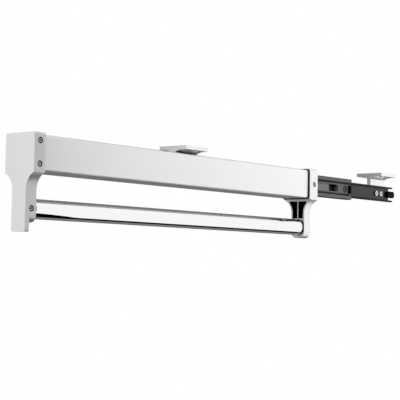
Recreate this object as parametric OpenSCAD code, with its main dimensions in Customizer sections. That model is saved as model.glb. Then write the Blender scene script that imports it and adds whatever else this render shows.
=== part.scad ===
// Pull-out trouser rack: a carrier box with a hanging tube rides on a ball-bearing slide
// that hangs from two T-shaped mounting brackets. The slide is shown partly pulled out.
// X runs across the rack, Y towards the back, Z up. The origin is the centre of the
// front mounting bracket's top face, which lies against the shelf above.

/* [Carrier box] */
// Length over both end brackets
carrier_l = 535; // [480:1:600]
// Width of the aluminium profile
profile_w = 41.2; // [40:0.1:52]
// Wall of the aluminium profile
profile_wall = 1.3; // [1:0.1:1.4]
// Outside corner radius of the profile
profile_r = 3; // [2:0.1:5]
// Width of the slot in the top of the profile
slot_w = 9; // [8:0.1:11]

/* [End brackets] */
// Wall of each bracket around the profile
cap_wall = 2; // [1.6:0.1:3.2]
// Depth of the front bracket's block
front_cap_d = 16; // [15:0.5:24]
// Depth of the rear bracket's block
rear_cap_d = 19; // [17:0.5:26]
// Thickness of the closed end of each bracket
cap_end_t = 4; // [3:0.5:5]
// Width of the leg under each block
leg_w = 21.5; // [20.5:0.5:28]
// Radius of the hollow shoulder above each leg
shoulder_r = 20; // [14:0.5:24]
// Depth of the front leg
front_leg_d = 15.5; // [14:0.5:20]
// Depth of the rear leg, whose back is flush with its block
rear_leg_d = 15; // [13:0.5:19]
// Thickness of the pull tab below the front leg
tab_t = 6; // [4:0.5:8]
// Height of the front bracket, from the top of its block to the end of its pull tab
front_drop = 106; // [100:0.5:125]

/* [Hanging tube] */
// Outside diameter of the tube
tube_d = 22; // [20:0.5:25]
// Wall of the tube
tube_wall = 1.2; // [1:0.1:2]
// Depth of the tube's axis below the top of the end brackets
tube_drop = 81; // [78:0.5:90]

/* [Slide] */
// Distance from the front of the carrier to the channel fixed in it
outer_start = 6; // [5:0.5:30]
// Length of the middle channel
mid_l = 504; // [490:1:560]
// Length of the channel that hangs from the brackets
inner_l = 513; // [500:1:540]
// Height of the channel fixed in the carrier, which the box and the other channels follow
outer_h = 35; // [30:0.5:45]
// Full travel from closed to pulled out
travel = 455; // [400:1:500]
// How far the carrier is pulled out as shown
shown_pull = 241; // [200:1:280]

/* [Mounting brackets] */
// Width of each bracket's plate
plate_w = 43; // [38:0.5:60]
// Length of each bracket along the rack
plate_l = 41.5; // [36:0.5:50]
// Thickness of the plate at its edge
plate_t = 4.9; // [3.5:0.1:6]
// Thickness of the stem
stem_t = 6; // [3:0.1:8]
// Distance from the hanging channel's rear end to the rear bracket
rear_inset = 15; // [14:1:60]
// Height of the plates' top face above the end brackets
shelf_gap = 8.4; // [7.8:0.1:12]
// Diameter of the holes in the plates
plate_hole_d = 4.5; // [3.5:0.1:5]
// Distance between a plate's holes across the rack
plate_hole_x = 28; // [26:0.5:30]
// Distance between a plate's holes along the rack
plate_hole_y = 26; // [20:0.5:28]

/* [Hidden] */
$fn = 48;

// How far every cut runs past the face that it opens
cut = 1;
// Gap between two pieces that are fitted together
fit_gap = 0.15;
// Gap between a screw and its hole
screw_gap = 0.1;

// Profile
web_t = 1.5;            // inner wall that carries the slide
channel_fit = 0.7;      // above and below the channel in the profile
profile_h = outer_h + 2 * (profile_wall + channel_fit);
cap_w = profile_w + 2 * cap_wall;
cap_h = profile_h + 2 * cap_wall;
cap_r = 2.5;            // outside corner radius of the brackets
profile_z = -shelf_gap - cap_h / 2;
profile_y0 = cap_end_t;
profile_y1 = carrier_l - cap_end_t;
gasket_t = 1.8;
gasket_edge = 1.2;      // how far the gasket stands out round the profile

// Slide section, measured from the outer channel's back and from the slide's centre
steel = 1;              // gauge of the channels
ball_r = 1.5;
ball_gap = 0.05;
race_depth = 0.4;       // of the balls in the flanges outside them
mid_race_depth = 1.1;   // of the outer balls in the middle channel's flange
inner_race_depth = 0.5; // of the inner balls in the inner channel's flange
slide_t = 12.4;         // over the whole slide
outer_depth = 7.6;
outer_lip = 0.9;
outer_lip_t = 0.8;
outer_ball_u = 4.4;
outer_ball_z = outer_h / 2 - steel - ball_r + race_depth;
mid_back_u = 2.2;       // face of the middle channel's shoulders
mid_web_u = 4.4;        // face of its sunken web
mid_web_t = 1.2;
mid_shoulder = 5.6;     // height of each shoulder
mid_slope = 2.4;        // height of the slope from a shoulder to the web
mid_bend_r = 1;         // of the shoulders' outside corners
mid_flange_t = 1.4;
mid_depth = 11;
mid_h = outer_h - 2 * (steel + 2 * ball_r - race_depth - mid_race_depth);
mid_web_h = mid_h - 2 * (mid_shoulder + mid_slope);
inner_h = mid_h - 2 * (mid_flange_t + 2 * ball_r - race_depth - inner_race_depth);
inner_ball_u = 8.4;
inner_ball_z = mid_h / 2 - mid_flange_t - ball_r + race_depth;
inner_lip_u = 7;        // face of the inner channel's lips
inner_lip = 2.7;
inner_lip_slope = 1.6;  // of the lips' faces, towards the web
cage_t = 0.5;           // sheet of the ball cages
cage_strip = 0.7;       // thickness of the strips that hold the balls
cage_hole_gap = 0.15;
outer_cage_u = 1.3;
inner_cage_u = 6;
cage_end = 2;           // how far a cage's strip runs past the balls
ball_count = 10;
ball_edge = 8;          // from a cage's end to its first ball
slide_z = profile_z;
slide_x = stem_t / 2 + slide_t;

// Places along the rack in the carrier's own frame, where zero is its front face
outer_y0 = outer_start;
outer_l = profile_y1 - outer_y0;
inner_y0_closed = 10;   // front end of the inner channel, closed
mid_y0_closed = 13.5;
stop_gap = 3;           // left between a cage and the end of its run
mount_ahead = 1;        // of the front bracket before the inner channel

// From the carrier's frame to the rack's: the brackets stay, and the carrier moves
front_mount_y = inner_y0_closed + shown_pull + plate_l / 2 - mount_ahead;
carrier_y = -front_mount_y;
mid_y = carrier_y + mid_y0_closed + shown_pull / 2;
inner_y = carrier_y + inner_y0_closed + shown_pull;
rear_mount_y = inner_y + inner_l - rear_inset - plate_l / 2;
outer_cage_a = mid_y0_closed + travel / 4 + stop_gap;
outer_cage_b = outer_y0 + outer_l - travel / 4 - stop_gap;
outer_cage_y = carrier_y + outer_cage_a + shown_pull / 4;
outer_cage_l = outer_cage_b - outer_cage_a;
inner_cage_a = inner_y0_closed + travel / 4 + stop_gap;
inner_cage_b = mid_y0_closed + mid_l - travel / 4 - stop_gap / 2;
inner_cage_y = carrier_y + inner_cage_a + shown_pull * 3 / 4;
inner_cage_l = inner_cage_b - inner_cage_a;

// Middle channel's windows, from its rear end
end_window = [33, 104];     // long window that shows the ball cage, from and to
round_hole_edge = 1.5;      // of the web above and below the round hole
round_hole_d = mid_web_h - 2 * round_hole_edge;
round_hole_y = 14.6;
window_edge = 2;            // of the web above and below each window
window_h = mid_web_h - 2 * window_edge;
front_window_l = 42;
front_window_count = 5;
front_window_gap = 20;      // from the long window to the first of them
front_window_y = end_window[1] + front_window_gap;
front_window_end = 34;      // from the last one to the channel's front end
front_window_run = mid_l - front_window_y - front_window_l - front_window_end;
front_window_step = front_window_run / (front_window_count - 1);

// Middle channel's end stop
mid_stop_l = 4;
mid_stop_edge = 1;          // of the web above and below the stop
mid_stop_h = mid_web_h - 2 * mid_stop_edge;
mid_stop_r = 1.2;
mid_stop_bite = 2.4;
mid_stop_slot_l = 2;

// Inner channel's rear end and its bumper
notch_l = 6;                // its web is cut back by this
bumper_h = 10;
bumper_out = 6.5;           // past the lips
bumper_t = 3.4;
bumper_grip = 7;            // length over the web
bumper_post_d = 4;
bumper_r = 4;

// Mounting brackets
plate_edge_r = 1;
plate_root_shares = [[0.5, 1.05], [0.26, 1.35], [0.15, 1.75]];  // of its half width and its thickness
stem_root_share = 2.2;      // of the plate's thickness
stem_drop = 9;              // of the stem below the slide's centre
mount_screw_y = [13.6, 26.2];
mount_head_d = 8;
mount_head_t = 2.2;
mount_thread_d = 4;
cross_l = 4.4;
cross_w = 1;
cross_depth = 1.2;
countersink_d = 8.6;
countersink_t = 2;

// Side screws of the end brackets
side_bore_d = 7;
side_bore_t = 1.8;
side_head_d = 4.8;
side_head_t = 1.4;
side_thread_d = 3.5;
side_thread_l = 4.6;
hex_d = 2.6;
hex_t = 0.8;
side_screw_y = 8.4;
top_screw_z = 8.8;          // below the top of the block
low_screw_rise = 9.2;       // above the bottom of the block
low_screw_z = cap_h - low_screw_rise;
rear_screw_y = 8;           // from the rear face
tube_screw_y = 9;

// Screws that hold the outer channel to the profile
slide_screw_shares = [0.1, 0.5, 0.9];
slide_head_d = 6.4;
slide_thread_d = 3.5;
slide_head_t = 1.4;         // depth of the countersunk head
slide_cross_t = 0.8;

// Legs
leg_wall = 2;
leg_floor = 3;              // behind each leg's recess
rib_t = 1.6;
boss_r = leg_w / 2;
leg_end = 15;               // of each leg below the tube's axis
leg_end_r = 8;
tab_r = 1.5;
recess_top = 2;             // solid below the block
boss_wall = 3;

// Tube plugs
plug_flange_t = 0.6;
rear_flange_t = 4.2;        // of the rear plug, which fills the gap before the rear leg
plug_spigot_l = 14;
plug_shank_d = 12;
plug_shank_l = min(front_leg_d - cap_end_t, rear_leg_d - leg_floor) - fit_gap;
plug_bore_d = 5;
tube_z = -shelf_gap - tube_drop;
tube_y0 = front_leg_d + plug_flange_t;
tube_y1 = carrier_l - rear_leg_d - rear_flange_t;

// Closing buffer
buffer_h = 9;
buffer_w = 8;
buffer_l = inner_y0_closed - cap_end_t - 2 * fit_gap;
buffer_r = 1.5;
buffer_clear = 0.4;         // beside the stem of the front bracket

// A flat shape drawn in X and Z, as a slab from y0 to y1
module slab(y0, y1) {
    translate([0, y1, 0]) rotate([90, 0, 0]) linear_extrude(y1 - y0) children();
}

// A rectangle with round corners about its centre
module round_rect(w, h, r) {
    square([w - 2 * r, h], center = true);
    square([w, h - 2 * r], center = true);
    for (sx = [-1, 1], sz = [-1, 1])
        translate([sx * (w / 2 - r), sz * (h / 2 - r)]) circle(r);
}

// A box drawn from one corner to another in X and Z
module span(x0, x1, z0, z1) {
    translate([x0, z0]) square([x1 - x0, z1 - z0]);
}

// A hole or pin along X, from x0 to x1
module along_x(x0, x1, y, z, d) {
    translate([x0, y, z]) rotate([0, 90, 0]) cylinder(h = x1 - x0, d = d);
}

// A hole or pin along Y, from y0 to y1
module along_y(y0, y1, x, z, d) {
    translate([x, y1, z]) rotate([90, 0, 0]) cylinder(h = y1 - y0, d = d);
}

// The carrier

module profile_outline(grow = 0) {
    round_rect(profile_w + 2 * grow, profile_h + 2 * grow, profile_r + grow);
}

module slot_cut(top) {
    span(-slot_w / 2, slot_w / 2, 0, top);
}

module profile_section() {
    inside_w = profile_w - 2 * profile_wall;
    inside_h = profile_h - 2 * profile_wall;
    difference() {
        profile_outline();
        difference() {
            round_rect(inside_w, inside_h, profile_r - profile_wall);
            span(slide_x, slide_x + web_t, -profile_h / 2, profile_h / 2);
        }
        slot_cut(profile_h);
    }
}

module carrier_profile() {
    color([0.83, 0.84, 0.86])
    translate([0, carrier_y, profile_z])
        difference() {
            slab(profile_y0, profile_y1) profile_section();
            slide_screws(2 * screw_gap, cut);
            for (z = [top_screw_z, low_screw_z])
                side_thread_hole(side_screw_y, cap_h / 2 - z);
            side_thread_hole(carrier_l - rear_screw_y, 0);
        }
}

// Thread hole in the profile's visible side, under a side screw
module side_thread_hole(y, z) {
    along_x(profile_w / 2 - profile_wall - cut, profile_w / 2 + cut, y, z,
        side_thread_d + 2 * screw_gap);
}

// The block and leg of an end bracket, seen from the front, about the block's centre
module bracket_outline(leg_to, end_r) {
    round_rect(cap_w, cap_h, cap_r);
    leg_top = -cap_h / 2 + cap_r;
    span(-leg_w / 2, leg_w / 2, leg_to + end_r, leg_top);
    flat = leg_w / 2 - end_r;
    if (flat > 0)
        span(-flat, flat, leg_to, leg_to + 2 * end_r);
    for (side = [-1, 1])
        translate([side * flat, leg_to + end_r]) circle(end_r);
    for (side = [-1, 1])
        intersection() {
            difference() {
                translate([side * leg_w / 2, leg_top - shoulder_r])
                    square([2 * (cap_w - leg_w) / 2, 2 * shoulder_r], center = true);
                translate([side * (leg_w / 2 + shoulder_r), -cap_h / 2 - shoulder_drop]) circle(shoulder_r);
            }
            span(-cap_w / 2, cap_w / 2, -cap_h / 2 - shoulder_drop, leg_top);
        }
}

// Depth of the shoulder's curve below the block
shoulder_drop = sqrt(pow(shoulder_r, 2) - pow(shoulder_r - (cap_w - leg_w) / 2, 2));
tube_rel_z = tube_z - profile_z;

// Recess in a leg, between its walls, with a rib down its middle
module leg_recess() {
    top = -cap_h / 2 - recess_top;
    bottom = tube_rel_z + boss_r + boss_wall / 2;
    difference() {
        intersection() {
            offset_outline();
            span(-cap_w / 2, cap_w / 2, bottom, top);
        }
        span(-rib_t / 2, rib_t / 2, bottom - cut, top + cut);
    }
}

// The leg's outline, set in by its wall
module offset_outline() {
    half = leg_w / 2 - leg_wall;
    span(-half, half, tube_rel_z, -cap_h / 2);
    for (side = [-1, 1])
        difference() {
            translate([side * half, -cap_h / 2 - shoulder_drop / 2])
                square([cap_w / 2 - leg_w / 2, shoulder_drop], center = true);
            translate([side * (half + shoulder_r + leg_wall), -cap_h / 2 - shoulder_drop])
                circle(shoulder_r + leg_wall);
        }
}

module side_screw_cut(y, z, x, wall) {
    along_x(x - side_bore_t, x + cut, y, z, side_bore_d);
    along_x(x - wall - cut, x, y, z, side_thread_d + 2 * screw_gap);
}

module front_bracket() {
    color([0.80, 0.81, 0.82])
    translate([0, carrier_y, profile_z])
        difference() {
            union() {
                slab(0, front_cap_d) round_rect(cap_w, cap_h, cap_r);
                slab(0, front_leg_d) bracket_outline(tube_rel_z - leg_end, leg_end_r);
                slab(0, tab_t)
                    translate([0, (-front_drop + cap_h / 2 + tube_rel_z) / 2])
                        round_rect(leg_w, tube_rel_z + front_drop - cap_h / 2, tab_r);
            }
            slab(cap_end_t - fit_gap, front_cap_d + cut) profile_outline(fit_gap);
            slab(cap_end_t, front_cap_d + cut) slot_cut(cap_h);
            slab(leg_floor, front_leg_d + cut) leg_recess();
            along_y(cap_end_t, front_leg_d + cut, 0, tube_rel_z, plug_shank_d + 2 * fit_gap);
            for (z = [top_screw_z, low_screw_z])
                side_screw_cut(side_screw_y, cap_h / 2 - z, cap_w / 2, cap_wall);
            side_screw_cut(tube_screw_y, tube_rel_z, leg_w / 2, (leg_w - plug_shank_d) / 2);
        }
}

module rear_bracket() {
    leg_y0 = rear_cap_d - rear_leg_d;
    color([0.80, 0.81, 0.82])
    translate([0, carrier_y + carrier_l - rear_cap_d, profile_z])
        difference() {
            union() {
                slab(0, rear_cap_d) round_rect(cap_w, cap_h, cap_r);
                slab(leg_y0, rear_cap_d) bracket_outline(tube_rel_z - leg_end, leg_end_r);
            }
            slab(-cut, rear_cap_d - cap_end_t + fit_gap) profile_outline(fit_gap);
            slab(leg_y0 - cut, rear_cap_d - leg_floor) leg_recess();
            slab(-cut, rear_cap_d + cut) {
                slot_cut(cap_h);
                translate([window_x0, -window_z]) square([window_x1 - window_x0, 2 * window_z]);
            }
            along_y(leg_y0 - cut, leg_y0 + plug_shank_l + fit_gap, 0, tube_rel_z,
                plug_shank_d + 2 * fit_gap);
            side_screw_cut(rear_cap_d - rear_screw_y, 0, cap_w / 2, cap_wall);
        }
}

// Window in the rear bracket's end that the slide runs through
window_x0 = -slot_w / 2 - 3 * steel;
window_x1 = slide_x;
window_z = profile_h / 2 - profile_wall;

module profile_gasket() {
    color([0.06, 0.06, 0.065])
    translate([0, carrier_y + carrier_l - rear_cap_d - gasket_t, profile_z])
        slab(0, gasket_t)
            difference() {
                profile_outline(gasket_edge);
                profile_outline(fit_gap);
                slot_cut(cap_h);
            }
}

module hanging_tube() {
    color([0.88, 0.89, 0.90])
    translate([0, carrier_y, 0])
        difference() {
            along_y(tube_y0, tube_y1, 0, tube_z, tube_d);
            along_y(tube_y0 - cut, tube_y1 + cut, 0, tube_z, tube_d - 2 * tube_wall);
        }
}

// A plug that stands in a leg, with a flange at y = 0 and its spigot towards +Y
module tube_plug(flange_t) {
    color([0.07, 0.07, 0.075])
        difference() {
            union() {
                along_y(-flange_t, 0, 0, 0, tube_d);
                along_y(-flange_t / 2, plug_spigot_l, 0, 0, tube_d - 2 * tube_wall - 2 * screw_gap);
                along_y(-flange_t - plug_shank_l, 0, 0, 0, plug_shank_d);
            }
            along_y(plug_flange_t, plug_spigot_l + cut, 0, 0, plug_bore_d);
            children();
        }
}

module front_tube_plug() {
    translate([0, carrier_y + tube_y0, tube_z])
        tube_plug(plug_flange_t)
            along_x(0, plug_shank_d, tube_screw_y - tube_y0, 0, side_thread_d + 2 * screw_gap);
}

module rear_tube_plug() {
    translate([0, carrier_y + tube_y1, tube_z]) mirror([0, 1, 0]) tube_plug(rear_flange_t);
}

// A socket button screw whose head's face is at x = 0 and whose shank runs to -X
module side_screw(shank) {
    color([0.62, 0.63, 0.65])
        difference() {
            union() {
                along_x(-side_head_t, 0, 0, 0, side_head_d);
                along_x(-side_head_t - shank, -side_head_t / 2, 0, 0, side_thread_d);
            }
            translate([-hex_t, 0, 0]) rotate([0, 90, 0]) cylinder(h = hex_t + cut, d = hex_d, $fn = 6);
        }
}

// Depth of a side screw's face below the surface that it is sunk in
head_sink = side_bore_t - side_head_t;

module front_bracket_screws() {
    for (z = [top_screw_z, low_screw_z])
        translate([cap_w / 2 - head_sink, carrier_y + side_screw_y, -shelf_gap - z])
            side_screw(side_thread_l - side_head_t);
}

module tube_screw() {
    translate([leg_w / 2 - head_sink, carrier_y + tube_screw_y, tube_z])
        side_screw(leg_w / 2 - side_bore_t - screw_gap);
}

module rear_bracket_screws() {
    translate([cap_w / 2 - head_sink, carrier_y + carrier_l - rear_screw_y, profile_z])
        side_screw(side_thread_l - side_head_t);
}

module closing_buffer() {
    color([0.05, 0.05, 0.05])
    translate([slide_x - slide_t + buffer_clear + buffer_w / 2, carrier_y, slide_z])
        slab(cap_end_t - fit_gap, cap_end_t - fit_gap + buffer_l) round_rect(buffer_w, buffer_h, buffer_r);
}

// The slide

// Draws in the slide's own section, where u is measured from the outer channel's back
module slide_section(y0, y1) {
    translate([slide_x, 0, slide_z]) mirror([1, 0, 0]) slab(y0, y1) children();
}

module both_sides() {
    for (flip = [0, 1]) mirror([0, flip]) children();
}

module race(u, z) {
    both_sides() translate([u, z]) circle(ball_r + ball_gap);
}

module outer_section() {
    half = outer_h / 2;
    difference() {
        union() {
            span(0, steel, -half, half);
            both_sides() {
                span(0, outer_depth, half - steel, half);
                span(outer_depth - outer_lip_t, outer_depth, half - steel - outer_lip, half - steel / 2);
            }
        }
        race(outer_ball_u, outer_ball_z);
    }
}

module mid_section() {
    half = mid_h / 2;
    difference() {
        union() {
            span(mid_web_u, mid_web_u + mid_web_t, -half + steel, half - steel);
            both_sides() {
                span(mid_back_u, mid_web_u + mid_web_t, half - mid_shoulder, half - mid_bend_r);
                span(mid_back_u + mid_bend_r, mid_depth, half - mid_flange_t, half);
                translate([mid_back_u + mid_bend_r, half - mid_bend_r]) circle(mid_bend_r);
                polygon([
                    [mid_back_u, half - mid_shoulder], [mid_web_u, half - mid_shoulder - mid_slope],
                    [mid_web_u + mid_web_t, half - mid_shoulder - mid_slope],
                    [mid_web_u + mid_web_t, half - mid_shoulder]
                ]);
            }
        }
        race(outer_ball_u, outer_ball_z);
        race(inner_ball_u, inner_ball_z);
    }
}

module inner_section() {
    half = inner_h / 2;
    lip_u = inner_lip_u + inner_lip_slope;
    upper = [
        [slide_t, half], [inner_lip_u + steel / 2, half], [inner_lip_u, half - steel],
        [lip_u, half - inner_lip], [lip_u + steel, half - inner_lip],
        [inner_lip_u + 2 * steel, half - steel], [slide_t - steel, half - steel]
    ];
    difference() {
        polygon([
            for (p = upper) p,
            for (i = [len(upper) - 1 : -1 : 0]) [upper[i][0], -upper[i][1]]
        ]);
        race(inner_ball_u, inner_ball_z);
    }
}

module outer_channel() {
    color([0.16, 0.165, 0.175])
        difference() {
            translate([0, carrier_y, 0]) slide_section(outer_y0, outer_y0 + outer_l) outer_section();
            translate([0, carrier_y, slide_z]) slide_screws(2 * screw_gap, cut);
        }
}

// Countersunk screws in the carrier's frame, or their holes when they are grown
module slide_screws(grow, over) {
    for (share = slide_screw_shares)
        translate([slide_x - steel, outer_y0 + outer_l * share, 0]) rotate([0, 90, 0]) {
            cylinder(h = slide_head_t, d1 = slide_head_d + grow, d2 = slide_thread_d + grow);
            cylinder(h = steel + web_t + over, d = slide_thread_d + grow);
            if (over > 0)
                translate([0, 0, -over]) cylinder(h = over, d = slide_head_d + grow);
        }
}

module outer_channel_screws() {
    color([0.62, 0.63, 0.65])
    translate([0, carrier_y, slide_z])
        difference() {
            slide_screws(0, 0);
            for (share = slide_screw_shares)
                translate([slide_x - steel, outer_y0 + outer_l * share, 0]) cross_cut(0, slide_cross_t);
        }
}

// Cross recess cut into a head whose face is at x
module cross_cut(x, depth) {
    for (turn = [0, 90])
        translate([x - cut, 0, 0]) rotate([turn, 0, 0])
            translate([0, -cross_l / 2, -cross_w / 2]) cube([depth + cut, cross_l, cross_w]);
}

// A row of places along a cage, on both of its strips
module ball_places(l, u, z) {
    step = (l - 2 * ball_edge) / (ball_count - 1);
    for (i = [0 : ball_count - 1], side = [-1, 1])
        translate([slide_x - u, ball_edge + i * step, slide_z + side * z]) children();
}

module ball_cage(l, web_u, u, z) {
    difference() {
        slide_section(0, l)
            difference() {
                span(web_u, u + cage_end, -z - cage_strip / 2, z + cage_strip / 2);
                span(web_u + cage_t, u + cage_end + cut, -z + cage_strip / 2, z - cage_strip / 2);
            }
        ball_places(l, u, z) sphere(ball_r + cage_hole_gap);
    }
}

module outer_ball_cage() {
    color([0.70, 0.71, 0.72])
    translate([0, outer_cage_y, 0]) ball_cage(outer_cage_l, outer_cage_u, outer_ball_u, outer_strip_z);
}

module outer_balls() {
    color([0.85, 0.86, 0.87])
    translate([0, outer_cage_y, 0]) ball_places(outer_cage_l, outer_ball_u, outer_ball_z) sphere(ball_r);
}

module inner_ball_cage() {
    color([0.70, 0.71, 0.72])
    translate([0, inner_cage_y, 0]) ball_cage(inner_cage_l, inner_cage_u, inner_ball_u, inner_strip_z);
}

module inner_balls() {
    color([0.85, 0.86, 0.87])
    translate([0, inner_cage_y, 0]) ball_places(inner_cage_l, inner_ball_u, inner_ball_z) sphere(ball_r);
}

// Each cage's strips lie midway between the channels that they part
outer_strip_z = (outer_h / 2 - steel + mid_h / 2) / 2;
inner_strip_z = (mid_h / 2 - mid_flange_t + inner_h / 2) / 2;

module middle_channel() {
    web_x = slide_x - mid_web_u - mid_web_t - cut;
    web_cut = mid_web_t + 2 * cut;
    rear = mid_y + mid_l;
    color([0.20, 0.205, 0.215])
        difference() {
            slide_section(mid_y, rear) mid_section();
            translate([web_x, 0, slide_z]) {
                window(web_cut, rear - end_window[1], rear - end_window[0]);
                for (i = [0 : front_window_count - 1]) {
                    window_rear = rear - front_window_y - i * front_window_step;
                    window(web_cut, window_rear - front_window_l, window_rear);
                }
                along_x(0, web_cut, rear - round_hole_y, 0, round_hole_d);
                translate([0, rear - mid_stop_slot_l - mid_stop_bite / 2, -mid_stop_h / 4])
                    cube([web_cut, mid_stop_slot_l, mid_stop_h / 2]);
            }
        }
}

// A window with round ends through the middle channel's web
module window(depth, y0, y1) {
    r = window_h / 2;
    translate([0, y0 + r, -r]) cube([depth, y1 - y0 - 2 * r, window_h]);
    for (y = [y0 + r, y1 - r]) along_x(0, depth, y, 0, window_h);
}

// Stop that clips through the slot at the end of the middle channel's web
module middle_end_stop() {
    back = slide_x - mid_web_u;
    tongue_y = mid_stop_slot_l + mid_stop_bite / 2 - screw_gap;
    tongue_h = mid_stop_h / 2 - 2 * screw_gap;
    color([0.04, 0.04, 0.045])
    translate([0, mid_y + mid_l, slide_z]) {
        translate([back + fit_gap, -mid_stop_l, 0]) rotate([0, 90, 0])
            translate([0, mid_stop_l / 2, 0]) linear_extrude(mid_web_u - mid_back_u - fit_gap)
                round_rect(mid_stop_h, mid_stop_l, mid_stop_r);
        translate([back - mid_web_t, -tongue_y, -tongue_h / 2])
            cube([mid_web_t + 2 * fit_gap, mid_stop_slot_l - 2 * screw_gap, tongue_h]);
    }
}

module inner_channel() {
    rear = inner_y + inner_l;
    color([0.13, 0.135, 0.145])
        difference() {
            slide_section(inner_y, rear) inner_section();
            translate([slide_x - slide_t - cut, rear - notch_l, slide_z - inner_h / 2 + inner_lip])
                cube([slide_t, notch_l + cut, inner_h - 2 * inner_lip]);
            for (mount = [0, rear_mount_y], y = mount_screw_y)
                along_x(slide_x - slide_t - cut, slide_x - slide_t + steel + cut,
                    mount - plate_l / 2 + y, slide_z, mount_thread_d + 2 * screw_gap);
            along_x(slide_x - slide_t - cut, slide_x - slide_t + steel + cut,
                rear - notch_l - bumper_grip / 2, slide_z, bumper_post_d + 2 * screw_gap);
        }
}

module inner_end_bumper() {
    rear = inner_y + inner_l;
    face = slide_x - slide_t + steel;
    start = rear - notch_l - bumper_grip;
    color([0.03, 0.03, 0.03]) {
        translate([face + fit_gap, start, slide_z]) rotate([0, 90, 0])
            linear_extrude(bumper_t)
                translate([0, (rear + bumper_out - start) / 2])
                    round_rect(bumper_h, rear + bumper_out - start, bumper_r);
        along_x(slide_x - slide_t, face + bumper_t / 2, start + bumper_grip / 2, slide_z, bumper_post_d);
    }
}

// The mounting brackets

module mount_section() {
    half = plate_w / 2;
    inner = half - plate_edge_r;
    root = plate_t * stem_root_share;
    bottom = slide_z - stem_drop;
    for (side = [-1, 1])
        translate([side * inner, plate_edge_r - plate_t]) circle(plate_edge_r);
    polygon([
        [-half, 0], [-half, plate_edge_r - plate_t], [-inner, -plate_t],
        for (s = plate_root_shares) [-half * s[0], -plate_t * s[1]],
        [-stem_t / 2, -root], [-stem_t / 2, bottom], [stem_t / 2, bottom], [stem_t / 2, -root],
        for (i = [len(plate_root_shares) - 1 : -1 : 0])
            [half * plate_root_shares[i][0], -plate_t * plate_root_shares[i][1]],
        [inner, -plate_t], [half, plate_edge_r - plate_t], [half, 0]
    ]);
}

module mount(y) {
    color([0.86, 0.87, 0.88])
    translate([0, y, 0])
        difference() {
            slab(-plate_l / 2, plate_l / 2) mount_section();
            for (sx = [-1, 1], sy = [-1, 1])
                translate([sx * plate_hole_x / 2, sy * plate_hole_y / 2, 0]) {
                    translate([0, 0, -2 * plate_t]) cylinder(h = 2 * plate_t + cut, d = plate_hole_d);
                    translate([0, 0, -2 * plate_t]) cylinder(h = plate_t, d = countersink_d);
                    translate([0, 0, -plate_t])
                        cylinder(h = countersink_t, d1 = countersink_d, d2 = plate_hole_d);
                }
            for (along = mount_screw_y)
                along_x(-stem_t, stem_t, along - plate_l / 2, slide_z, mount_thread_d + 2 * screw_gap);
        }
}

module front_mount() {
    mount(0);
}

module rear_mount() {
    mount(rear_mount_y);
}

// Pan-head screws that hold the inner channel to a bracket's stem
module mount_screws(y) {
    face = slide_x - slide_t + steel;
    color([0.75, 0.76, 0.78])
    for (along = mount_screw_y)
        translate([face, y - plate_l / 2 + along, slide_z])
            difference() {
                union() {
                    along_x(0, mount_head_t, 0, 0, mount_head_d);
                    along_x(-steel - stem_t, mount_head_t / 2, 0, 0, mount_thread_d);
                }
                mirror([1, 0, 0]) cross_cut(-mount_head_t, cross_depth);
            }
}

module front_mount_screws() {
    mount_screws(0);
}

module rear_mount_screws() {
    mount_screws(rear_mount_y);
}

carrier_profile();
front_bracket();
rear_bracket();
profile_gasket();
hanging_tube();
front_tube_plug();
rear_tube_plug();
front_bracket_screws();
tube_screw();
rear_bracket_screws();
closing_buffer();
outer_channel();
outer_channel_screws();
outer_ball_cage();
outer_balls();
middle_channel();
middle_end_stop();
inner_ball_cage();
inner_balls();
inner_channel();
inner_end_bumper();
front_mount();
rear_mount();
front_mount_screws();
rear_mount_screws();
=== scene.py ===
"""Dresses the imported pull-out trouser rack: finishes, rounded edges, studio and camera."""
import math

import bmesh
import bpy
from bpy.props import FloatProperty, FloatVectorProperty, PointerProperty
from mathutils import Matrix, Vector


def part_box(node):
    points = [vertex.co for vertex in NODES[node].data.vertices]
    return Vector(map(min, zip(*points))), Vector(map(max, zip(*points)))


bl_info = {
    "name": "Pull-out Trouser Rack",
    "version": (1, 0, 0),
    "blender": (4, 5, 0),
    "location": "3D View > Sidebar > Rack",
    "description": "Finishes for a wardrobe's pull-out trouser rack, with its studio",
    "category": "Object",
}

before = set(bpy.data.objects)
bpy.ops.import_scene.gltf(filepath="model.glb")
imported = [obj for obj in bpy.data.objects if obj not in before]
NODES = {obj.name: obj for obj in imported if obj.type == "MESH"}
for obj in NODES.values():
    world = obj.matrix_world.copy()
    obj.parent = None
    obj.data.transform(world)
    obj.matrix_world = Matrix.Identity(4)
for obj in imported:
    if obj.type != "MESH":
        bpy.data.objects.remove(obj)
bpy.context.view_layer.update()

# Lengths are in metres. A pair of lengths is where a mask starts to change and where it has changed.

# Screws that sit in bores across X, and the distances from their axes that the masks of painted shade use
BORED_SCREWS = ("front_bracket_screws", "tube_screw", "rear_bracket_screws")
BORE_RIM = (0.0036, 0.0039)
FACE_RIM = (0.0018, 0.0022)
SOCKET_RIM = (0.0012, 0.0014)
# Distances along X from the head's outer face
BORE_MOUTH = (-0.0002, 0.0003)
SOCKET_MOUTH = (-0.0004, -0.0002)

# Half width and shoulder curve of the CAD model's cast legs, and the height where their pockets, which get
# painted shade, end
LEG_HALF = 0.01075
SHOULDER_FOOT = -0.06966
SHOULDER_R = 0.02
POCKET_TOP = -0.0534
# Distances in from the leg's outline, over POCKET_TOP, and up from the tube's top
POCKET_WALL = (0.0010, 0.0018)
POCKET_CEILING = (-0.0004, 0.0002)
POCKET_FLOOR_FADE = 0.001
# Distances along Y from a bracket's closed face to where its pocket starts and ends
POCKET_SKIN = 0.0024
FRONT_POCKET_END = 0.0146
REAR_POCKET_END = 0.0141
POCKET_END_FADE = 0.0005

# Half the width over which a band of painted sheen on a channel fades, and the least share of that sheen
SHEEN_FADE = 0.0003
LEAST_SHEEN = 0.75
# Start of a band that has no inner edge
NO_INNER_EDGE = -1

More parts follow.
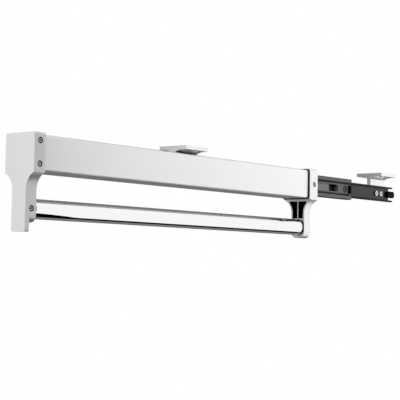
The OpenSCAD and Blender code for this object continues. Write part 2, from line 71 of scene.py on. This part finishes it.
# Values between which most of a noise texture lies, and its middle one
NOISE_RANGE = (0.3, 0.7)
NOISE_MIDDLE = 0.5
# Shares of the fine and the slow noise in the grain's height
FINE_SHARE = 0.8
SLOW_SHARE = 0.2
# A scratch is where a noise is this close to its middle value
HAIRLINE = 0.012
# Noise values over which scratches and smudges come in, and the scales of those noises
SCRATCHED = (0.55, 0.7)
SMUDGED = (0.42, 0.7)
SCRATCHED_SCALE = 0.4
SMUDGED_SCALE = 0.6

# Vertices closer than this are one, and faces within this angle are flat
WELD_GAP = 0.000002
FLAT_ANGLE = math.radians(0.4)
ROUNDED_ANGLE = math.radians(35)


# Sizes and colours that a user would change

class RackSizes(bpy.types.PropertyGroup):
    """Edge rounding of the rack's pieces"""
    casting_edge: FloatProperty(
        name="Casting edge", description="Rounding of the cast end brackets' edges",
        default=0.0012, min=0.0001, max=0.003, unit="LENGTH", subtype="DISTANCE")
    mount_edge: FloatProperty(
        name="Mount edge", description="Rounding of the mounting brackets' edges",
        default=0.0004, min=0.0001, max=0.002, unit="LENGTH", subtype="DISTANCE")
    trim_edge: FloatProperty(
        name="Trim edge", description="Rounding of the plastic and rubber pieces' edges",
        default=0.00018, min=0.00005, max=0.001, unit="LENGTH", subtype="DISTANCE")
    screw_edge: FloatProperty(
        name="Screw edge", description="Rounding of the screw heads",
        default=0.00025, min=0.00005, max=0.001, unit="LENGTH", subtype="DISTANCE")


class RackColours(bpy.types.PropertyGroup):
    """Base colours of the rack's finishes"""
    casting: FloatVectorProperty(
        name="Casting", description="Silver paint of the end brackets", subtype="COLOR",
        size=3, min=0, max=1, default=(0.86, 0.86, 0.865))
    profile: FloatVectorProperty(
        name="Profile", description="Anodised aluminium of the box profile", subtype="COLOR",
        size=3, min=0, max=1, default=(0.9, 0.905, 0.91))
    tube: FloatVectorProperty(
        name="Tube", description="Bright aluminium of the hanging tube", subtype="COLOR",
        size=3, min=0, max=1, default=(0.93, 0.93, 0.935))
    channel: FloatVectorProperty(
        name="Channel", description="Black coat of the slide's channels", subtype="COLOR",
        size=3, min=0, max=1, default=(0.003, 0.003, 0.0032))
    plastic: FloatVectorProperty(
        name="Plastic", description="Black plastic of plugs, stops and bumpers", subtype="COLOR",
        size=3, min=0, max=1, default=(0.003, 0.003, 0.0032))


# Shader building blocks

def group(name, inputs, outputs):
    """An empty node group with named sockets; each input is (name, default), None for a vector."""
    tree = bpy.data.node_groups.new(name, "ShaderNodeTree")
    for label, default in inputs:
        kind = "NodeSocketVector" if default is None else "NodeSocketFloat"
        socket = tree.interface.new_socket(label, in_out="INPUT", socket_type=kind)
        if default is not None:
            socket.default_value = default
    for label in outputs:
        tree.interface.new_socket(label, in_out="OUTPUT", socket_type="NodeSocketFloat")
    return tree, tree.nodes.new("NodeGroupInput"), tree.nodes.new("NodeGroupOutput")


def feed(tree, socket, value):
    """Sets a socket to a number, to a colour's three numbers, or to another node's output."""
    if isinstance(value, (int, float)):
        socket.default_value = value
    elif isinstance(value, tuple):
        socket.default_value = (*value, 1)
    else:
        tree.links.new(value, socket)


def noise(tree, vector, scale, detail, rough=0.5):
    """A noise texture's value; scale is a number or an output."""
    node = tree.nodes.new("ShaderNodeTexNoise")
    node.inputs["Detail"].default_value = detail
    node.inputs["Roughness"].default_value = rough
    feed(tree, node.inputs["Vector"], vector)
    feed(tree, node.inputs["Scale"], scale)
    return node.outputs["Fac"]


def sums(tree, kind, a, b=0.0, clamp=False):
    """The result of a Math node; a and b are numbers or outputs."""
    node = tree.nodes.new("ShaderNodeMath")
    node.operation = kind
    node.use_clamp = clamp
    feed(tree, node.inputs[0], a)
    feed(tree, node.inputs[1], b)
    return node.outputs[0]


def spread(tree, value, low, high, to_low=0.0, to_high=1.0):
    """The value's range from low to high, spread over another range and clamped to it."""
    node = tree.nodes.new("ShaderNodeMapRange")
    node.clamp = True
    limits = {"From Min": low, "From Max": high, "To Min": to_low, "To Max": to_high}
    for label, number in limits.items():
        node.inputs[label].default_value = number
    tree.links.new(value, node.inputs["Value"])
    return node.outputs["Result"]


def between(tree, value, rise, fall):
    """A mask that comes in over the pair rise and goes out over the pair fall."""
    return sums(tree, "MULTIPLY", spread(tree, value, *rise), spread(tree, value, *fall, 1.0, 0.0))


def blend(tree, factor, a, b, kind="MIX"):
    """Two colours blended; each is three numbers or an output."""
    node = tree.nodes.new("ShaderNodeMix")
    node.data_type = "RGBA"
    node.blend_type = kind
    feed(tree, node.inputs["Factor"], factor)
    feed(tree, node.inputs["A"], a)
    feed(tree, node.inputs["B"], b)
    return node.outputs["Result"]


def axes(tree, vector):
    """The outputs X, Y and Z of a vector."""
    apart = tree.nodes.new("ShaderNodeSeparateXYZ")
    tree.links.new(vector, apart.inputs[0])
    return apart.outputs


def grain_group():
    """Fine grain over a slow drift: orange peel of paint, or lines when its vector is stretched."""
    tree, given, out = group("Surface Grain", [("Vector", None), ("Scale", 900.0), ("Drift", 14.0)],
                             ["Grain", "Drift", "Height"])
    vector = given.outputs["Vector"]
    fine = noise(tree, vector, given.outputs["Scale"], 4.0, 0.6)
    slow = noise(tree, vector, given.outputs["Drift"], 2.0)
    tree.links.new(spread(tree, fine, *NOISE_RANGE), out.inputs["Grain"])
    tree.links.new(spread(tree, slow, *NOISE_RANGE), out.inputs["Drift"])
    height = sums(tree, "ADD", sums(tree, "MULTIPLY", fine, FINE_SHARE),
                  sums(tree, "MULTIPLY", slow, SLOW_SHARE))
    tree.links.new(height, out.inputs["Height"])
    return tree


def marks_group():
    """Sparse hairline scratches and soft smudges from handling."""
    tree, given, out = group("Handling Marks", [("Vector", None), ("Scale", 60.0)], ["Scratches", "Smudges"])
    vector, scale = given.outputs["Vector"], given.outputs["Scale"]
    lines = noise(tree, vector, scale, 1.0)
    away = sums(tree, "ABSOLUTE", sums(tree, "SUBTRACT", lines, NOISE_MIDDLE))
    hair = spread(tree, away, 0.0, HAIRLINE, 1.0, 0.0)
    where = noise(tree, vector, sums(tree, "MULTIPLY", scale, SCRATCHED_SCALE), 2.0)
    tree.links.new(sums(tree, "MULTIPLY", hair, spread(tree, where, *SCRATCHED)), out.inputs["Scratches"])
    smear = noise(tree, vector, sums(tree, "MULTIPLY", scale, SMUDGED_SCALE), 4.0, 0.7)
    tree.links.new(spread(tree, smear, *SMUDGED), out.inputs["Smudges"])
    return tree


def painted_bore_shade_group():
    """Masks about the side screws for painted shade: Bore is 0 in the bores, and Head is 1 on the bright
    rings of the heads and 0 on their rims and in their sockets.
    """
    tree, given, out = group("Painted Bore Shade", [("Vector", None)], ["Bore", "Head"])
    place = axes(tree, given.outputs["Vector"])
    # the masks compare squares of distances
    rim, face, socket = ([r ** 2 for r in radii] for radii in (BORE_RIM, FACE_RIM, SOCKET_RIM))
    bore, head = 1.0, 0.0
    for name in BORED_SCREWS:
        for low, high in loose_boxes(name):
            away = [sums(tree, "SUBTRACT", place["XYZ"[i]], (low[i] + high[i]) / 2) for i in (1, 2)]
            square = sums(tree, "ADD", *(sums(tree, "MULTIPLY", part, part) for part in away))
            mouth, bottom = ([high[0] + step for step in steps] for steps in (BORE_MOUTH, SOCKET_MOUTH))
            clear = sums(tree, "MAXIMUM", spread(tree, square, *rim), spread(tree, place["X"], *mouth))
            bore = sums(tree, "MINIMUM", bore, clear)
            ring = sums(tree, "MAXIMUM", spread(tree, square, *socket), spread(tree, place["X"], *bottom))
            ring = sums(tree, "MULTIPLY", spread(tree, square, *face, 1.0, 0.0), ring)
            head = sums(tree, "MAXIMUM", head, ring)
    tree.links.new(bore, out.inputs["Bore"])
    tree.links.new(head, out.inputs["Head"])
    return tree


def painted_pocket_shade_group():
    """A mask for painted shade that is 0 inside the open pockets of the two cast legs and 1 elsewhere."""
    tree, given, out = group("Painted Pocket Shade", [("Vector", None)], ["Open"])
    place = axes(tree, given.outputs["Vector"])
    across = sums(tree, "ABSOLUTE", place["X"])
    # the leg's outline widens into the block through a hollow curve
    rise = spread(tree, place["Z"], SHOULDER_FOOT, SHOULDER_FOOT + SHOULDER_R)
    curve = sums(tree, "SQRT", sums(tree, "SUBTRACT", 1.0, sums(tree, "MULTIPLY", rise, rise)))
    half = sums(tree, "ADD", LEG_HALF + SHOULDER_R, sums(tree, "MULTIPLY", curve, -SHOULDER_R))
    wall = spread(tree, sums(tree, "SUBTRACT", half, across), *POCKET_WALL)
    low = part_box("hanging_tube")[1][2]
    height = between(tree, place["Z"], (low, low + POCKET_FLOOR_FADE),
                     [POCKET_TOP + step for step in POCKET_CEILING])
    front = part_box("front_bracket")[0][1]
    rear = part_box("rear_bracket")[1][1]
    inside = 0.0
    for start, end in ((front + POCKET_SKIN, front + FRONT_POCKET_END),
                       (rear - REAR_POCKET_END, rear - POCKET_SKIN)):
        here = between(tree, place["Y"], (start, start + POCKET_END_FADE), (end - POCKET_END_FADE, end))
        inside = sums(tree, "MAXIMUM", inside, here)
    deep = sums(tree, "MULTIPLY", sums(tree, "MULTIPLY", wall, height), inside)
    tree.links.new(sums(tree, "SUBTRACT", 1.0, deep), out.inputs["Open"])
    return tree


def loose_boxes(name):
    """The box of each loose piece of a CAD node, as (low, high)."""
    bm = bmesh.new()
    bm.from_mesh(NODES[name].data)
    bmesh.ops.remove_doubles(bm, verts=bm.verts, dist=WELD_GAP)
    left, boxes = set(bm.verts), []
    while left:
        ring, piece = [left.pop()], []
        while ring:
            vert = ring.pop()
            piece.append(vert.co.copy())
            for edge in vert.link_edges:
                other = edge.other_vert(vert)
                if other in left:
                    left.remove(other)
                    ring.append(other)
        boxes.append((Vector(min(c[i] for c in piece) for i in range(3)),
                      Vector(max(c[i] for c in piece) for i in range(3))))
    bm.free()
    return boxes


MAKERS = {"grain": grain_group, "marks": marks_group, "bores": painted_bore_shade_group, "pockets": painted_pocket_shade_group}
GROUPS = {}


def shared(tree, name, vector, **numbers):
    """A node of the shader group of that name, which is built once, with its vector and numbers."""
    if name not in GROUPS:
        GROUPS[name] = MAKERS[name]()
    node = tree.nodes.new("ShaderNodeGroup")
    node.node_tree = GROUPS[name]
    tree.links.new(vector, node.inputs["Vector"])
    for label, number in numbers.items():
        node.inputs[label].default_value = number
    return node.outputs


def painted_sheen(tree, place, grain, sheen_lands):
    """How much painted sheen the channel gets, in bands that lie that far from the centre height."""
    off = sums(tree, "ABSOLUTE", sums(tree, "SUBTRACT", axes(tree, place)["Z"], sheen_lands["centre"]))
    sheen = 0.0
    for low, high in sheen_lands["bands"]:
        band = between(tree, off, (low - SHEEN_FADE, low + SHEEN_FADE), (high - SHEEN_FADE, high + SHEEN_FADE))
        sheen = sums(tree, "MAXIMUM", sheen, band)
    return sums(tree, "MULTIPLY", sheen, spread(tree, grain["Grain"], 0, 1, LEAST_SHEEN, 1.0), True)


def finish(name, colour, metallic, roughness, stretch=(1, 1, 1), scale=900.0, drift=14.0, tint=0.04,
           rough_spread=0.06, bump=0.00002, strength=0.25, mark_scale=60.0, scratch=0.03, smudge=0.05,
           specular=0.5, sheen_lands=None, painted_shades=()):
    """A procedural material on object coordinates.

    Scale and drift are the fine and the slow noise of the grain, and tint, rough_spread, bump and
    strength say how much it changes colour, roughness and relief. The band list paints a sheen, a
    lighter colour with a lower roughness, on bands of a channel. Each shade entry is (group, output,
    value), a painted shade: where that mask is 0, the colour is that dark value.
    """
    material = bpy.data.materials.new(name)
    material.use_nodes = True
    tree = material.node_tree
    shader = tree.nodes["Principled BSDF"]
    shader.inputs["Metallic"].default_value = metallic
    shader.inputs["Specular IOR Level"].default_value = specular
    place = tree.nodes.new("ShaderNodeTexCoord").outputs["Object"]
    mapping = tree.nodes.new("ShaderNodeMapping")
    mapping.inputs["Scale"].default_value = stretch
    tree.links.new(place, mapping.inputs["Vector"])
    grain = shared(tree, "grain", mapping.outputs["Vector"], Scale=scale, Drift=drift)
    marks = shared(tree, "marks", place, Scale=mark_scale)
    # the base colour drifts a little lighter and darker, and scratches lift it
    shade = sums(tree, "ADD", spread(tree, grain["Drift"], 0, 1, 1 - tint, 1 + tint * 0.5),
                 sums(tree, "MULTIPLY", marks["Scratches"], scratch))
    shade = sums(tree, "ADD", shade, spread(tree, grain["Grain"], 0, 1, -tint * 0.5, tint * 0.5))
    base = blend(tree, 1.0, colour, shade, "MULTIPLY")
    rough = sums(tree, "ADD",
                 spread(tree, grain["Grain"], 0, 1, roughness - rough_spread, roughness + rough_spread),
                 sums(tree, "MULTIPLY", marks["Smudges"], smudge))
    # painted sheen: the bands of a channel get a lighter colour and a lower roughness
    if sheen_lands:
        sheen = painted_sheen(tree, place, grain, sheen_lands)
        base = blend(tree, sheen, base, sheen_lands["colour"])
        rough = sums(tree, "ADD", rough, sums(tree, "MULTIPLY", sheen, sheen_lands["roughness"] - roughness), True)
    # painted shade: where a shade mask is 0, the colour is that dark value
    for mask, output, dark in painted_shades:
        base = blend(tree, shared(tree, mask, place)[output], (dark, dark, dark), base)
    tree.links.new(base, shader.inputs["Base Color"])
    tree.links.new(rough, shader.inputs["Roughness"])
    relief = tree.nodes.new("ShaderNodeBump")
    relief.inputs["Strength"].default_value = strength
    relief.inputs["Distance"].default_value = bump
    tree.links.new(grain["Height"], relief.inputs["Height"])
    tree.links.new(relief.outputs["Normal"], shader.inputs["Normal"])
    return material


# Carried-over CAD nodes

def dress(names, material, edge=0.0, segments=2):
    """Gives CAD nodes their finish and, if edge isn't 0, rounded edges by live modifiers."""
    for name in names:
        node = NODES[name]
        node.data.materials.clear()
        node.data.materials.append(material)
        if edge > 0:
            round_edges(node, edge, segments)


def round_edges(node, edge, segments):
    """Live modifiers that join a CAD mesh's flat faces and round its sharp edges."""
    weld = node.modifiers.new("Weld", "WELD")
    weld.merge_threshold = WELD_GAP
    flat = node.modifiers.new("Flat faces", "DECIMATE")
    flat.decimate_type = "DISSOLVE"
    flat.angle_limit = FLAT_ANGLE
    round_off = node.modifiers.new("Edges", "BEVEL")
    round_off.width = edge
    round_off.segments = segments
    round_off.limit_method = "ANGLE"
    round_off.angle_limit = ROUNDED_ANGLE
    round_off.use_clamp_overlap = True
    even = node.modifiers.new("Flat shading", "WEIGHTED_NORMAL")
    even.mode = "FACE_AREA"
    even.weight = 100


class RACK_OT_carrier_profile(bpy.types.Operator):
    """Finishes the anodised box profile"""
    bl_idname = "rack.carrier_profile"
    bl_label = "Carrier Profile"

    def execute(self, context):
        colours = context.scene.rack_colours
        satin = finish("Satin Anodised Profile", tuple(colours.profile), metallic=0.8, roughness=0.36,
                       stretch=(1, 0.012, 1), scale=2600, drift=40, tint=0.015, rough_spread=0.015,
                       bump=0.00001, strength=0.03, mark_scale=22, scratch=0.0, smudge=0.04)
        dress(["carrier_profile"], satin)
        return {"FINISHED"}


class RACK_OT_end_brackets(bpy.types.Operator):
    """Finishes the two cast end brackets in silver paint, with painted shade in the screw bores and the legs'
    pockets
    """
    bl_idname = "rack.end_brackets"
    bl_label = "End Brackets"

    def execute(self, context):
        sizes, colours = context.scene.rack_sizes, context.scene.rack_colours
        # painted shade: the paint is dark in the bores round the side screws and inside the legs' pockets
        paint = finish("Silver Cast Paint", tuple(colours.casting), metallic=0.75, roughness=0.42,
                       scale=1700, drift=9, tint=0.03, rough_spread=0.03, strength=0.1, mark_scale=45,
                       scratch=0.0, smudge=0.03, painted_shades=(("bores", "Bore", 0.003), ("pockets", "Open", 0.02)))
        dress(["front_bracket", "rear_bracket"], paint, sizes.casting_edge, segments=3)
        return {"FINISHED"}


class RACK_OT_hanging_tube(bpy.types.Operator):
    """Finishes the bright hanging tube"""
    bl_idname = "rack.hanging_tube"
    bl_label = "Hanging Tube"

    def execute(self, context):
        colours = context.scene.rack_colours
        bright = finish("Bright Tube", tuple(colours.tube), metallic=1.0, roughness=0.06,
                        stretch=(1, 0.01, 1), scale=3200, drift=30, tint=0.012, rough_spread=0.01,
                        bump=0.000006, strength=0.03, mark_scale=26, scratch=0.0, smudge=0.02)
        dress(["hanging_tube"], bright)
        return {"FINISHED"}


class RACK_OT_trim(bpy.types.Operator):
    """Finishes the black plugs, stop and bumper, the gasket and the closing buffer"""
    bl_idname = "rack.trim"
    bl_label = "Plastic and Rubber"

    def execute(self, context):
        sizes, colours = context.scene.rack_sizes, context.scene.rack_colours
        plastic = finish("Moulded Plastic", tuple(colours.plastic), metallic=0.0, roughness=0.5,
                         scale=1400, drift=30, tint=0.1, strength=0.1, specular=0.02)
        dress(["front_tube_plug", "rear_tube_plug", "middle_end_stop", "inner_end_bumper"],
              plastic, sizes.trim_edge)
        rubber = finish("Gasket Rubber", (0.008, 0.008, 0.0085), metallic=0.0, roughness=0.75,
                        scale=1500, bump=0.00003, specular=0.1)
        dress(["profile_gasket", "closing_buffer"], rubber, sizes.trim_edge)
        return {"FINISHED"}


class RACK_OT_screws(bpy.types.Operator):
    """Finishes the side screws, with painted shade on their heads' rims and in their sockets, and the screws
    of the slide and the mounts
    """
    bl_idname = "rack.screws"
    bl_label = "Screws"

    def execute(self, context):
        sizes = context.scene.rack_sizes
        zinc = finish("Zinc Plated Screws", (0.62, 0.63, 0.65), metallic=0.9, roughness=0.3, scale=2200,
                      drift=120, tint=0.08, strength=0.3, mark_scale=400, scratch=0.1, smudge=0.1)
        dress(["outer_channel_screws", "front_mount_screws", "rear_mount_screws"], zinc, sizes.screw_edge)
        # painted shade: the side screws' heads are dark at their rims and in their sockets
        socket = finish("Socket Screws", (0.72, 0.72, 0.73), metallic=0.9, roughness=0.3, scale=2200,
                        drift=120, tint=0.08, strength=0.1, mark_scale=400, scratch=0.0,
                        painted_shades=(("bores", "Head", 0.003),))
        dress(BORED_SCREWS, socket, sizes.screw_edge)
        return {"FINISHED"}


class RACK_OT_slide(bpy.types.Operator):
    """Finishes the three black channels of the slide, each with a painted sheen on its bands"""
    bl_idname = "rack.slide"
    bl_label = "Slide Channels"

    def execute(self, context):
        low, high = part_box("inner_channel")
        centre = (low[2] + high[2]) / 2
        # material, node, bands of painted sheen as distances from the centre height, colour and roughness of
        # the bands
        channels = (
            ("Black Outer Channel", "outer_channel", ((0, 0.0125),), (0.08, 0.08, 0.083), 0.3),
            ("Black Middle Channel", "middle_channel", ((NO_INNER_EDGE, 0.0068), (0.0098, 0.0141)),
             (0.145, 0.145, 0.15), 0.2),
            ("Black Inner Channel", "inner_channel", ((NO_INNER_EDGE, 0.0083),), (0.055, 0.055, 0.057), 0.25))
        for label, node, bands, bright, band_roughness in channels:
            sheen_lands = {"centre": centre, "bands": bands, "colour": bright, "roughness": band_roughness}
            black = finish(label, tuple(context.scene.rack_colours.channel), metallic=1.0, roughness=0.25,
                           stretch=(1, 0.05, 1), scale=1600, drift=25, tint=0.15, mark_scale=80, sheen_lands=sheen_lands)
            dress([node], black)
        return {"FINISHED"}


class RACK_OT_ball_cages(bpy.types.Operator):
    """Finishes the ball cages and their balls"""
    bl_idname = "rack.ball_cages"
    bl_label = "Ball Cages"

    def execute(self, context):
        cage = finish("Rolled Cage Steel", (0.17, 0.17, 0.175), metallic=0.9, roughness=0.38,
                      stretch=(1, 0.05, 1), scale=1800, drift=40, tint=0.08)
        dress(["outer_ball_cage", "inner_ball_cage"], cage)
        ball = finish("Polished Ball Steel", (0.8, 0.8, 0.81), metallic=1.0, roughness=0.08, drift=300,
                      tint=0.03, rough_spread=0.02, bump=0.000002, strength=0.05)
        dress(["outer_balls", "inner_balls"], ball)
        return {"FINISHED"}


class RACK_OT_mounts(bpy.types.Operator):
    """Finishes the two T-shaped mounting brackets"""
    bl_idname = "rack.mounts"
    bl_label = "Mounting Brackets"

    def execute(self, context):
        alloy = finish("Mount Alloy", (0.88, 0.88, 0.89), metallic=0.95, roughness=0.25,
                       stretch=(1, 0.02, 1), scale=2000, drift=40, tint=0.03, rough_spread=0.03,
                       bump=0.00001, strength=0.05, mark_scale=70, scratch=0.0, smudge=0.02)
        dress(["front_mount", "rear_mount"], alloy, context.scene.rack_sizes.mount_edge)
        return {"FINISHED"}


# Studio

# The sky's strength where it isn't seen itself, and the floor's place, size and finish
SOFT_LIGHT = 0.14
FLOOR_Z = -0.75
FLOOR_SIZE = 12
FLOOR_GREY = 0.9
FLOOR_ROUGHNESS = 0.9
WHITE = (1, 1, 1)
# Glowing sheets for reflections: name, middle, width, length, grey, and whether it stands across X
CARDS = (("side_card", (0.5, -0.31, -0.05), 1.0, 0.77, 0.02, True),
         ("front_low_card", (0.3, -0.33, -0.35), 0.7, 0.79, 0.0, False),
         ("rear_card", (-0.5, 0.55, -0.2), 1.2, 2.3, 0.15, True),
         ("ceiling_card", (-0.32, 1.0, 0.45), 0.4, 1.9, 0.0, False),
         ("low_strip", (0.015, 0.5, -0.5), 0.19, 1.3, 0.0, False),
         ("low_card", (-0.34, 0.75, -0.5), 0.52, 1.9, 0.2, False))
# The rays that don't see them
BLIND_RAYS = ("camera", "diffuse", "transmission", "shadow", "volume_scatter")
# Area lamps: name, place, aim, size and power in watts
LAMPS = (("key_lamp", (-0.3, -0.85, 0.15), (0, -0.25, -0.05), 0.4, 4.8),
         ("side_lamp", (0.45, 0.6, 0.06), (0, 0.28, -0.03), 0.3, 4.5))
# The camera's yaw, pitch and roll in degrees, and the point on the rack's front that it stands off from
CAMERA_TURN = (39.396, 3.327, 1.059)
CAMERA_ANCHOR = (0, -0.27075, -0.0084)
CAMERA_BACK = 1.2938
CAMERA_ASIDE = -0.1932
CAMERA_ABOVE = 0.06878
# Its focal length in pixels of a picture that is so many pixels wide
FOCAL_PIXELS = 1211.0
PICTURE_PIXELS = 400
SENSOR_WIDTH = 36
NEAREST = 0.05


def white_where_seen(tree, plain, white, output):
    """Camera, glossy and transmission rays see white; all others see the plain shader."""
    path = tree.nodes.new("ShaderNodeLightPath")
    seen = sums(tree, "ADD", path.outputs["Is Camera Ray"], path.outputs["Is Glossy Ray"], True)
    seen = sums(tree, "ADD", seen, path.outputs["Is Transmission Ray"], True)
    mix = tree.nodes.new("ShaderNodeMixShader")
    for slot, value in zip(mix.inputs, (seen, plain, white)):
        tree.links.new(value, slot)
    tree.links.new(mix.outputs[0], output)


def glow(material, grey):
    """A plain emission of that grey in the material's tree."""
    shader = material.node_tree.nodes.new("ShaderNodeEmission")
    shader.inputs["Color"].default_value = (grey, grey, grey, 1)
    return shader.outputs[0]


def stage_sheet(name, middle, width, length, upright=False):
    """A flat sheet of the studio, lying, or standing across X, with its own material."""
    turn = Matrix.Rotation(math.pi / 2, 4, "Y") if upright else Matrix.Identity(4)
    bm = bmesh.new()
    bmesh.ops.create_grid(bm, x_segments=1, y_segments=1, size=0.5,
                          matrix=Matrix.Translation(middle) @ turn @ Matrix.Diagonal((width, length, 1, 1)))
    mesh = bpy.data.meshes.new(name)
    bm.to_mesh(mesh)
    bm.free()
    sheet = bpy.data.objects.new(name, mesh)
    bpy.context.scene.collection.objects.link(sheet)
    material = bpy.data.materials.new(name)
    material.use_nodes = True
    mesh.materials.append(material)
    return sheet, material


def studio_world(scene):
    """A sky that is white where it is seen and a soft light elsewhere."""
    world = bpy.data.worlds.new("studio")
    world.use_nodes = True
    scene.world = world
    tree = world.node_tree
    soft = tree.nodes["Background"]
    soft.inputs["Strength"].default_value = SOFT_LIGHT
    white = tree.nodes.new("ShaderNodeBackground")
    for sky in (soft, white):
        feed(tree, sky.inputs["Color"], WHITE)
    white_where_seen(tree, soft.outputs[0], white.outputs[0], tree.nodes["World Output"].inputs["Surface"])


def studio_floor():
    """A plain pale floor that is white where it is seen."""
    pale = stage_sheet("floor", (0, 0, FLOOR_Z), FLOOR_SIZE, FLOOR_SIZE)[1]
    tree = pale.node_tree
    shader = tree.nodes["Principled BSDF"]
    feed(tree, shader.inputs["Base Color"], (FLOOR_GREY, FLOOR_GREY, FLOOR_GREY))
    shader.inputs["Roughness"].default_value = FLOOR_ROUGHNESS
    surface = tree.nodes["Material Output"].inputs["Surface"]
    white_where_seen(tree, shader.outputs[0], glow(pale, 1.0), surface)


def reflection_card(name, middle, width, length, grey, upright):
    """A glowing sheet that only reflections see."""
    card, material = stage_sheet(name, middle, width, length, upright)
    for ray in BLIND_RAYS:
        setattr(card, "visible_" + ray, False)
    tree = material.node_tree
    tree.links.new(glow(material, grey), tree.nodes["Material Output"].inputs["Surface"])


def lamp(name, place, aim, size, watts):
    """An area lamp that lights the rack and isn't seen itself."""
    data = bpy.data.lights.new(name, "AREA")
    data.size = size
    data.energy = watts
    holder = bpy.data.objects.new(name, data)
    holder.location = place
    holder.rotation_euler = (Vector(aim) - Vector(place)).to_track_quat("-Z", "Y").to_euler()
    holder.visible_camera = False
    holder.visible_glossy = False
    bpy.context.scene.collection.objects.link(holder)


def solved_camera():
    """The camera, solved from the photograph's edges, with its focal length then given."""
    yaw, pitch, roll = (math.radians(angle) for angle in CAMERA_TURN)
    ahead = Vector((-math.sin(yaw) * math.cos(pitch), math.cos(yaw) * math.cos(pitch), math.sin(pitch)))
    right = Vector((math.cos(yaw), math.sin(yaw), 0))
    up = right.cross(ahead)
    eye = Vector(CAMERA_ANCHOR) - ahead * CAMERA_BACK - right * CAMERA_ASIDE - up * CAMERA_ABOVE
    right, up = (right * math.cos(roll) + up * math.sin(roll), up * math.cos(roll) - right * math.sin(roll))
    data = bpy.data.cameras.new("camera")
    data.sensor_width = SENSOR_WIDTH
    data.lens = FOCAL_PIXELS / PICTURE_PIXELS * SENSOR_WIDTH
    data.clip_start = NEAREST
    holder = bpy.data.objects.new("camera", data)
    holder.matrix_world = Matrix.Translation(eye) @ Matrix((right, up, -ahead)).transposed().to_4x4()
    bpy.context.scene.collection.objects.link(holder)
    return holder


class RACK_OT_stage(bpy.types.Operator):
    """Sets the floor, the soft studio light and the camera"""
    bl_idname = "rack.stage"
    bl_label = "Stage"

    def execute(self, context):
        scene = context.scene
        scene.view_settings.view_transform = "Standard"
        studio_world(scene)
        studio_floor()
        for card in CARDS:
            reflection_card(*card)
        for light in LAMPS:
            lamp(*light)
        scene.camera = solved_camera()
        return {"FINISHED"}


# Panel and registration

class RACK_PT_panel(bpy.types.Panel):
    """Lists the rack's steps, sizes and colours"""
    bl_idname = "RACK_PT_panel"
    bl_label = "Trouser Rack"
    bl_space_type = "VIEW_3D"
    bl_region_type = "UI"
    bl_category = "Rack"

    def draw(self, context):
        layout = self.layout
        for name in STEPS:
            layout.operator("rack." + name)
        for settings in (context.scene.rack_sizes, context.scene.rack_colours):
            for prop in settings.bl_rna.properties:
                if not prop.is_readonly and prop.identifier != "name":
                    layout.prop(settings, prop.identifier)


STEPS = ("stage", "carrier_profile", "end_brackets", "hanging_tube", "trim", "screws", "slide",
         "ball_cages", "mounts")
CLASSES = (RackSizes, RackColours, RACK_OT_stage, RACK_OT_carrier_profile, RACK_OT_end_brackets,
           RACK_OT_hanging_tube, RACK_OT_trim, RACK_OT_screws, RACK_OT_slide, RACK_OT_ball_cages,
           RACK_OT_mounts, RACK_PT_panel)


def register():
    for cls in CLASSES:
        bpy.utils.register_class(cls)
    bpy.types.Scene.rack_sizes = PointerProperty(type=RackSizes)
    bpy.types.Scene.rack_colours = PointerProperty(type=RackColours)


def unregister():
    del bpy.types.Scene.rack_colours
    del bpy.types.Scene.rack_sizes
    for cls in reversed(CLASSES):
        bpy.utils.unregister_class(cls)


def main():
    register()
    for name in STEPS:
        getattr(bpy.ops.rack, name)()


if __name__ == "__main__":
    main()
